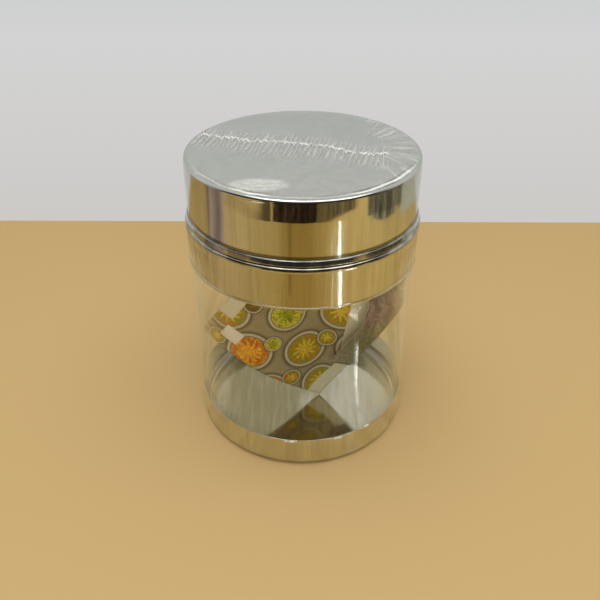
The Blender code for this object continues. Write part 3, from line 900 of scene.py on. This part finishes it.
def lid_film_finish(name):
    """Film on the lid: the zigzag weld, its gathered wrinkles and a faint milkiness, with painted light:
    fold lines of painted highlight and shade, painted glints and highlights, and painted shade over the hem.
    """
    f = finish(name)
    where = f.place()
    x, y, z = f.parts(where)
    along, from_seam = f.plan()
    top = z.ease(LID_TOP - 0.5 * MM, LID_TOP)
    ends = along.within(SEAM_START - 2.0 * MM, SEAM_START, SEAM_END - 1.0 * MM, SEAM_END + 0.5 * MM)
    jitter = f.noise(f.vector(along, 0.0), 620.0, roughness=0.7)
    broken = f.noise(f.vector(along, 0.03), 260.0, roughness=0.6)
    weld = (from_seam + (jitter - 0.5) * (17.0 * MM)).near(0.0, 0.4 * MM, 1.4 * MM) * ends * top
    wander = f.noise(f.vector(along, from_seam * 0.2), 140.0, detail=2.0)
    phase = (along - from_seam * 0.17 + (wander - 0.5) * (5.0 * MM)) * (math.tau / WRINKLE_PITCH)
    reach = f.noise(f.vector(along, 0.07), 190.0, detail=2.0) * (15.0 * MM) + 10.0 * MM
    reach = reach * from_seam.ease(-1.0 * MM, 1.0 * MM, 1.0, 0.62)
    gathered = from_seam.near(0.0, reach * 0.55, reach) * ends * top
    wrinkles = (phase.sine() * 0.5 + 0.5) ** 2.0 * gathered
    slack = f.noise(where, 60.0, detail=2.0)
    around = f.streaks(where, 2.0 * MM, 11.0 * MM, detail=4.0, roughness=0.65)
    fine = f.noise(where, 700.0)
    bulge_x, bulge_y = BULGE_MIDDLE
    # Painted highlight: a soft milky patch on the bulge at the front left, where it would catch a lamp
    painted_highlight_patch = ((x - bulge_x) / (12.5 * MM)) ** 2.0 + ((y - (bulge_y - 0.5 * MM)) / (6.5 * MM)) ** 2.0
    grain = f.noise(f.vector(x * 0.5 + y * 0.5, y - x * 0.2), 420.0).ease(0.05, 0.85)
    painted_highlight_patch = (1.0 - painted_highlight_patch.ease(0.3, 1.15)) * grain * top
    # Painted sheen: milky streaks on the folds that fan to the right rim
    fan_x, fan_y = x - FAN_MIDDLE[0], y - FAN_MIDDLE[1]
    fan = span(fan_x, fan_y)
    sheen = f.noise(f.vector(fan_y.angle_to(fan_x) * 2.2, fan * 12.0), 3.2)
    sheen = sheen.ease(0.5, 0.68) * fan.ease(8.0 * MM, 17.0 * MM) * x.ease(27.0 * MM, 35.0 * MM) * top
    height = wrinkles * 0.5 + weld * 0.12 + slack * 0.5 * top + around * 0.09 * (1.0 - top) + fine * 0.004
    normal = f.bump(height, 1.0 * MM)
    speck = f.noise(where, 520.0, detail=1.0).ease(0.74, 0.78) * gathered
    # Painted highlight and painted shade in lines along folds at the top's rim
    over = LID_TOP - z - (LID_RADIUS - span(x, y)) * 0.45
    left = x.within(-34.0 * MM, -18.0 * MM, -16.0 * MM, -9.0 * MM)
    sides = (left + x.ease(14.0 * MM, 24.0 * MM)).most(0.2) * y.ease(-30.0 * MM, -14.0 * MM, 1.0, 0.0)
    wobble = (f.noise(f.vector(x, y), 70.0) - 0.5) * (1.6 * MM)
    fold = ((over + wobble) * (math.tau / RIM_FOLD_PITCH)).sine()
    painted_fold_lines = over.ease(-2.4 * MM, -1.8 * MM) * (1.0 - (over - left * (1.5 * MM)).ease(0.0, 0.6 * MM)) * sides
    # Painted shade in a line just above the hem
    painted_hem_shade = z.near(LID_SEAT + LID_HEM_HEIGHT + 1.0 * MM, 0.3 * MM, 1.1 * MM)
    shadow = (fold * -1.0).ease(0.3, 0.9) * painted_fold_lines * 0.42 + painted_hem_shade * 0.4
    haze_and_glints = weld * broken.ease(0.40, 0.56, 0.25, 1.0) + wrinkles * 0.24 + speck * 0.5 + top * 0.02 + 0.001
    haze_and_glints = haze_and_glints + fold.ease(0.1, 0.8) * painted_fold_lines * 0.7
    # Painted glints: short slanted milky streaks high on the wall at the right
    painted_glint_streaks = f.streaks(where, 0.5 * MM, 3.0 * MM, twist=30.0, detail=4.0, roughness=0.7).ease(0.62, 0.7)
    painted_glint_streaks = painted_glint_streaks * z.ease(LID_TOP - 7.0 * MM, LID_TOP - 3.0 * MM)
    painted_glint_streaks = painted_glint_streaks * x.ease(2.0 * MM, 16.0 * MM) * (1.0 - top)
    haze_and_glints = haze_and_glints + painted_highlight_patch * 0.38 + sheen * 0.22 + painted_glint_streaks * 0.3
    return f.end(film_shader(f, normal, haze_and_glints, 0.1, 0.03, shadow))


# Shrink film round the body

BODY_FILM_DROP = 0.75 * MM
FILM_WAIST_REACH = 12.0 * MM
FILM_WRAP_ANGLE = 50.0
BODY_FILM_AROUND = 512
BODY_FILM_STEP = 1.0 * MM
BODY_FILM_INNER_STEP = 6.0 * MM
SPRING_STEPS = 10
# Painted glints of the body film: turn in degrees, height, half width in degrees, half height and strength
FILM_GLINTS = (
    (-6.0, BASE_TOP - 0.5 * MM, 4.6, 0.8 * MM, 0.9), (19.0, BASE_TOP - 0.7 * MM, 4.0, 0.8 * MM, 0.9),
    (36.0, BASE_TOP + 0.1 * MM, 3.4, 0.9 * MM, 0.8), (19.0, 1.6 * MM, 3.6, 0.6 * MM, 0.6),
)


def body_film():
    """A closed skin round collar, window and base: tight on the steel and drawn in over the window."""
    waist_top = SKIRT_BOTTOM - FILM_WAIST_REACH
    waist_bottom = BASE_TOP + FILM_WAIST_REACH
    hem_top = SKIRT_BOTTOM + SKIRT_HEM_HEIGHT
    corner = BASE_RADIUS - BASE_CORNER

    def side(off, step):
        proud = BASE_RADIUS + ROLL_PROUD + off
        steel_side = BASE_RADIUS + off
        tube_side = TUBE_OUTER + off
        marks = np.array([
            (proud, SHOULDER_TOP - BODY_FILM_DROP), (proud, SHOULDER_TOP - 2 * SHOULDER_ROLL),
            (steel_side, SHOULDER_TOP - 3 * SHOULDER_ROLL), (steel_side, hem_top + 2 * SKIRT_HEM_HEIGHT),
            (proud, hem_top + ROLL_PROUD), (proud, SKIRT_BOTTOM - ROLL_PROUD),
        ])
        spring = np.linspace(0.0, 1.0, SPRING_STEPS)[:, None]
        ease = spring * spring * (3.0 - 2.0 * spring)
        into = np.hstack([proud + (tube_side - proud) * ease**0.7,
                          SKIRT_BOTTOM - ROLL_PROUD + (waist_top - SKIRT_BOTTOM) * spring])
        out = np.hstack([tube_side + (steel_side - tube_side) * ease,
                         waist_bottom + (BASE_TOP + GAP - waist_bottom) * spring])
        turn = arc(corner, BASE_CORNER, BASE_CORNER + off, 0.0, -FILM_WRAP_ANGLE)
        line = np.vstack([marks, into[1:], out, turn])
        return refined(line, step)

    outer, inner = side(FILM_OFF + FILM, BODY_FILM_STEP), side(FILM_OFF, BODY_FILM_INNER_STEP)
    angle, radius, height = round_z(np.vstack([outer, inner[::-1]]), BODY_FILM_AROUND)
    free = np.arange(len(radius))[:, None] < len(outer)
    return swept("body_film_skin", angle, radius + ripples(angle, height, 1.4) * free, height, FILM_SHARP)


def refined(line, step):
    """A line of points with its long runs cut into steps."""
    length = np.concatenate([[0.0], np.cumsum(np.linalg.norm(np.diff(line, axis=0), axis=1))])
    count = max(len(line), int(length[-1] / step))
    places = np.unique(np.concatenate([length, np.linspace(0.0, length[-1], count)]))
    keep = np.concatenate([[True], np.diff(places) > 0.05 * MM])
    return np.column_stack([np.interp(places[keep], length, line[:, i]) for i in (0, 1)])


def body_film_finish(name):
    """Film on the body: upright shrink ripples, slanted drag lines near the ends, a faint milkiness and
    painted glints.
    """
    f = finish(name)
    where = f.place()
    upright = f.streaks(where, 3.7 * MM, 55.0 * MM, roughness=0.55)
    drag = f.streaks(where, 3.0 * MM, 17.0 * MM, twist=11.0, roughness=0.6)
    fine = f.noise(where, 600.0)
    x, y, z = f.parts(where)
    window = z.within(BASE_TOP, BASE_TOP + 7.0 * MM, SKIRT_BOTTOM - 7.0 * MM, SKIRT_BOTTOM)
    height = (upright * 0.45 + drag * 0.25) * (1.0 - window * 0.75) + fine * 0.004
    normal = f.bump(height, 1.0 * MM)
    turn = front_turn(x, y)
    blotch = f.noise(where, 130.0, detail=4.0, roughness=0.6, distortion=1.0)
    grain = f.noise(where, 750.0, detail=4.0, roughness=0.7)
    low = 1.0 - z.ease(BASE_TOP, BASE_TOP + 2.0 * MM)
    haze_and_glints = drag.ease(0.55, 0.75) * 0.008 + blotch.ease(0.45, 0.75) * low * 0.035 + 0.0004
    # Painted glints: milky spots low on the film, broken by a fine grain
    for middle, level, across, tall, share in FILM_GLINTS:
        spot = 1.0 - (((turn - middle) / across) ** 2.0 + ((z - level) / tall) ** 2.0).ease(0.0, 1.0)
        haze_and_glints = haze_and_glints + spot * grain.ease(0.42, 0.58, 0.12, 1.0) * share
    return f.end(film_shader(f, normal, haze_and_glints, 0.035, 0.009))


# Stage

FLOOR_FRONT = -1.4
FLOOR_BACK = 0.20
FLOOR_SIDE = 1.6
WALL_BACK = 1.2
WALL_SIDE = 5.0
WALL_LOW = -1.2
WALL_TOP = 8.0
WALL_SHADE_LOW = -0.6
WALL_SHADE_HIGH = 1.8
FLOOR_COLOR = srgb(195, 165, 113)
FLOOR_MIRRORED = srgb(212, 182, 118)
# Painted reflection tones of the floor seen in mirrors, by direction round the canister
MIRRORED_TONES = tones(
    (0.0, 176, 150, 92), (0.10, 174, 148, 98), (0.20, 192, 164, 114), (0.31, 182, 156, 100),
    (0.40, 173, 146, 86), (0.45, 158, 128, 62), (0.52, 156, 126, 62), (0.58, 172, 142, 80),
    (0.62, 200, 170, 106), (0.70, 206, 176, 110), (0.88, 200, 170, 106), (1.0, 190, 162, 104),
)
WALL_COLOR = srgb(209, 209, 209)
# Painted shade of the wall, by height
WALL_SHADES = tones(
    (0.03, 204, 201, 198), (0.215, 211, 211, 211), (0.25, 206, 207, 207),
    (0.45, 193, 195, 195), (0.57, 207, 209, 209), (0.88, 214, 214, 214),
)
LAMP_IMAGE = (1.0, 1.0, 0.92)


def panel(name, side, low, high, material):
    """A flat stage panel, as wide as twice its side, from a low edge to a high one, each as (y, z)."""
    mesh = bpy.data.meshes.new(name)
    mesh.from_pydata([(-side, *low), (side, *low), (side, *high), (-side, *high)], [], [(0, 1, 2, 3)])
    mesh.materials.append(material)
    made = bpy.data.objects.new(name, mesh)
    bpy.context.scene.collection.objects.link(made)


def floor_finish():
    """Plain pale tan floor. Mirrors show it as a painted reflection, by its direction and distance from the
    canister: gold, with painted shadow in front, painted dark flags beyond, a grey side, and a narrow
    painted lamp glare that glows."""
    f = finish("stage_floor")
    x, y, _ = f.parts(f.place())
    mirrored = f.node("ShaderNodeLightPath", output="Is Glossy Ray")
    turn = front_turn(x, y)
    reach = span(x, y)
    fine = f.noise(f.vector(turn * 0.7, reach * 5.0), 1.0, detail=4.0, roughness=0.7)
    broad = f.noise(f.vector(turn * 0.13, reach * 3.0), 1.0, detail=2.0)
    ragged = (fine - 0.5) * 0.03
    behind = (1.0 - reach.ease(0.16, 0.22)) * abs(turn).ease(88.0, 120.0)
    # Painted shadows seen only in mirrors: a broad one in front and a narrow stripe
    painted_front_shadow = turn.near(-4.0, 8.0, 24.0) * reach.ease(0.22, 0.26)
    painted_stripe_shadow = turn.near(-10.5, 0.6, 2.0) * reach.ease(0.19, 0.21)
    slope = turn.ease(-74.0, -24.0, 0.329, 0.306)
    wedge = (reach + ragged * 0.5 - slope).ease(-0.004, 0.002) * turn.within(-73.5, -72.5, -27.5, -26.8)
    wedge = wedge * (1.0 - (reach - slope).ease(0.018, 0.03) * turn.ease(-42.0, -33.0, 1.0, 0.0))
    rounding = ((turn + 6.0) / 18.0) ** 2.0 * 0.015
    flag = (reach + ragged * 0.25 - rounding).ease(0.298, 0.302) * turn.within(-25.6, -25.0, 12.0, 14.0)
    strips = (reach + ragged * 0.7 - (turn - 10.0) * 0.0009).ease(0.299, 0.305)
    strips = strips * turn.within(11.0, 13.0, 44.0, 50.0)
    bowl = ((turn - 80.0) / 22.0) ** 2.0 * 0.022 + 0.283
    right = (reach + ragged * 0.6 - bowl).ease(-0.003, 0.004) * turn.within(57.0, 60.0, 99.5, 101.5)
    deep = (reach - bowl).ease(0.010, 0.026) * 0.45
    side = turn.ease(99.5, 101.5) * (reach - turn.ease(100.0, 118.0, 0.279, 0.284)).ease(-0.004, 0.004)
    left = turn.within(-95.0, -93.5, -74.2, -73.6) * reach.ease(0.225, 0.245)
    shade = turn.within(-97.5, -94.0, -94.0, -93.0) * reach.ease(0.2, 0.23)
    # Painted glow round the lamp glare
    painted_glow = turn.near(32.3, 1.0, 9.0) * (1.0 - reach.ease(0.29, 0.315))
    # The painted reflection, seen only by mirrors
    tone = f.paint(
        f.ramp(turn / 240.0 + 0.5, MIRRORED_TONES),
        (reach.ease(0.08, 0.2, 0.75, 0.0), FLOOR_MIRRORED),
        (behind * 0.85, srgb(212, 186, 138)),
        (painted_front_shadow * 0.4, srgb(118, 90, 34)),
        (broad.ease(0.4, 0.6) * 0.22, srgb(150, 118, 60)),
        (painted_stripe_shadow * 0.45, srgb(80, 58, 24)),
        (wedge * (0.22 + 0.7 * turn.ease(-44.0, -31.0)), srgb(64, 54, 30)),
        (flag, f.mix(fine.ease(0.48, 0.72), srgb(12, 8, 5), srgb(92, 68, 44))),
        (strips * fine.ease(0.38, 0.7, 1.0, 0.5), srgb(40, 38, 28)),
        (right * 0.95, f.mix(fine.ease(0.42, 0.6) * (1.0 - deep), srgb(36, 33, 25), srgb(164, 157, 128))),
        (side * 0.92, f.mix(broad, srgb(164, 164, 142), srgb(190, 190, 172))),
        (left * 0.9, f.mix(broad.ease(0.4, 0.62), srgb(158, 140, 130), srgb(112, 94, 86))),
        (shade * 0.6, srgb(84, 60, 30)),
        (painted_glow * 0.15, srgb(236, 220, 170)),
    )
    shader = f.lit("BsdfDiffuse", f.mix(mirrored, FLOOR_COLOR, tone))
    # Painted lamp glare: strips that glow where mirrors see the floor, one of them with a brighter core
    glare = 1.0 - (abs(turn - 32.2) / reach.ease(0.24, 0.3, 1.6, 0.6)).ease(0.5, 1.0)
    glare = glare * reach.within(0.165, 0.18, 0.300, 0.315)
    second = turn.near(25.5, 0.3, 1.0) * reach.within(0.165, 0.18, 0.26, 0.29)
    low_turn = turn - (reach - 0.082) * 72.0
    low_glare = low_turn.near(45.0, 0.8, 1.9) * reach.within(0.078, 0.084, 0.128, 0.14)
    low_core = low_turn.near(45.0, 0.5, 1.4) * reach.within(0.092, 0.1, 0.128, 0.14)
    share = glare.most(low_glare).most(second * 0.12) * mirrored
    shader = f.blend(share, shader, f.lit("Emission", LAMP_IMAGE, Strength=3.0))
    return f.end(f.blend(low_core * mirrored, shader, f.lit("Emission", LAMP_IMAGE, Strength=18.0)))


def wall_finish():
    """Pale wall that glows with its own colour, also in mirrors and clear plastic, with painted shade by
    height.
    """
    f = finish("stage_wall")
    z = f.parts(f.place())[2]
    shade = f.ramp((z - WALL_SHADE_LOW) / (WALL_SHADE_HIGH - WALL_SHADE_LOW), WALL_SHADES)
    return f.end(f.lit("Emission", shade))


def stage():
    """Floor, and a wall well behind it, so that the object can be seen from behind too."""
    panel("floor", FLOOR_SIDE, (FLOOR_FRONT, 0.0), (FLOOR_BACK, 0.0), floor_finish())
    panel("wall", WALL_SIDE, (WALL_BACK, WALL_LOW), (WALL_BACK, WALL_TOP), wall_finish())


def world():
    """A plain room: dim in front below the eye, bright above, and pale to the camera itself."""
    room = bpy.data.worlds.new("room")
    bpy.context.scene.world = room
    f = Finish(room)
    direction = f.node("ShaderNodeTexCoord", output="Generated")
    _, depth, rise = f.parts(direction)
    front = 1.0 - depth.ease(-0.35, 0.15)
    ceiling = rise.ease(0.66, 0.86)
    low = f.mix(front, (0.55, 0.55, 0.55), (0.045, 0.042, 0.038))
    color = f.mix(ceiling, low, (0.85, 0.85, 0.85))
    color = f.mix(f.node("ShaderNodeLightPath", output="Is Camera Ray"), color, WALL_COLOR)
    f.node("ShaderNodeOutputWorld", inputs={"Surface": f.lit("Background", color, Strength=1.0)})


def put(made, turn, place):
    """Links an object to the scene, turned by a matrix, at its place."""
    made.matrix_world = Matrix.Translation(place) @ turn.to_4x4()
    bpy.context.scene.collection.objects.link(made)


def lamp(name, place, aim, size, power, mirrored=True):
    """A soft square lamp that faces its aim, and that mirrors may leave out."""
    light = bpy.data.lights.new(name, "AREA")
    light.shape = "RECTANGLE"
    light.size, light.size_y = size
    light.energy = power
    made = bpy.data.objects.new(name, light)
    made.visible_glossy = mirrored
    back = (Vector(place) - Vector(aim)).normalized()
    side = Vector((0.0, 1.0, 0.0)).cross(back).normalized()
    put(made, Matrix((side, back.cross(side), back)).transposed(), place)


def camera():
    """The photograph's camera: rolled, tipped up from looking down to its pitch, and turned by its yaw."""
    data = bpy.data.cameras.new("camera")
    data.sensor_width = SENSOR
    data.lens = FOCAL_PIXELS * SENSOR / PICTURE_WIDTH
    data.clip_start = 0.01
    made = bpy.data.objects.new("camera", data)
    yaw, tip = Matrix.Rotation(-CAMERA_YAW, 3, "Z"), Matrix.Rotation(math.pi / 2 - CAMERA_PITCH, 3, "X")
    put(made, yaw @ tip @ Matrix.Rotation(CAMERA_ROLL, 3, "Z"), CAMERA_PLACE)
    bpy.context.scene.camera = made


def dress(piece, body, node, slot, *materials):
    """Gives a piece its materials, puts it on its body and hides the node it stands for. The slot is not
    used.
    """
    for material in materials:
        piece.data.materials.append(material)
    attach(piece, body)
    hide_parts(node)


camera()
WARM_STEEL = (0.66, 0.64, 0.55)
dress(base_cup(), "canister", "base_cup", "base_steel", steel(
    "base_mirror_steel", WARM_STEEL, 0.035, painted_floor_tints=((0.35, 0.31, 0.175), (0.66, 0.62, 0.49)),
))
dress(clear_tube(), "canister", "clear_tube", "tube_plastic", clear_plastic("window_plastic"))
dress(neck_collar(), "canister", "neck_collar", "collar_steel", steel(
    "collar_mirror_steel", WARM_STEEL, 0.02, shaded_ledge=(SHOULDER_TOP - SHOULDER_ROLL, SHOULDER_TOP + 0.5 * MM),
))
dress(lid_cap(), "lid", "lid_cap", "lid_steel", steel(
    "lid_mirror_steel", (0.68, 0.68, 0.62), 0.018, shaded_ledge=(LID_SEAT, LID_SEAT + LID_HEM_HEIGHT + 0.5 * MM),
))
dress(
    leaflet(), "canister", "leaflet", "leaflet_paper",
    leaflet_face("leaflet_print"), leaflet_back("leaflet_reverse"),
    paper("leaflet_edge", srgb(206, 198, 178), srgb(180, 170, 148)),
)
dress(
    sticker(), "canister", "leaflet_sticker", "sticker_paper",
    paper("sticker_face", srgb(216, 206, 180), srgb(200, 188, 158)),
)
dress(body_film(), "canister", "body_film", "body_film_plastic", body_film_finish("body_shrink_film"))
dress(lid_film(), "lid", "lid_film", "lid_film_plastic", lid_film_finish("lid_shrink_film"))
for node in ("tube_bottom_seal", "tube_top_seal"):
    frame["nodes"][node].data.materials.clear()
    frame["nodes"][node].data.materials.append(seal_rubber(node + "_rubber"))

stage()
world()
lamp("ceiling_lamp", (0.25, -0.25, 1.5), (0.0, 0.0, 0.0), (1.4, 1.0), 7.4)
lamp("front_lamp", (0.0, -1.0, 0.42), (0.0, 0.0, 0.06), (1.2, 0.3), 6.5, mirrored=False)
lamp("back_lamp", (-0.3, -0.1, 1.3), (0.0, 0.1, 0.0), (0.5, 0.9), 2.6)
scene = bpy.context.scene
scene.view_settings.view_transform = "Standard"
scene.cycles.transparent_max_bounces = 32
scene.cycles.max_bounces = 12
scene.cycles.glossy_bounces = 8
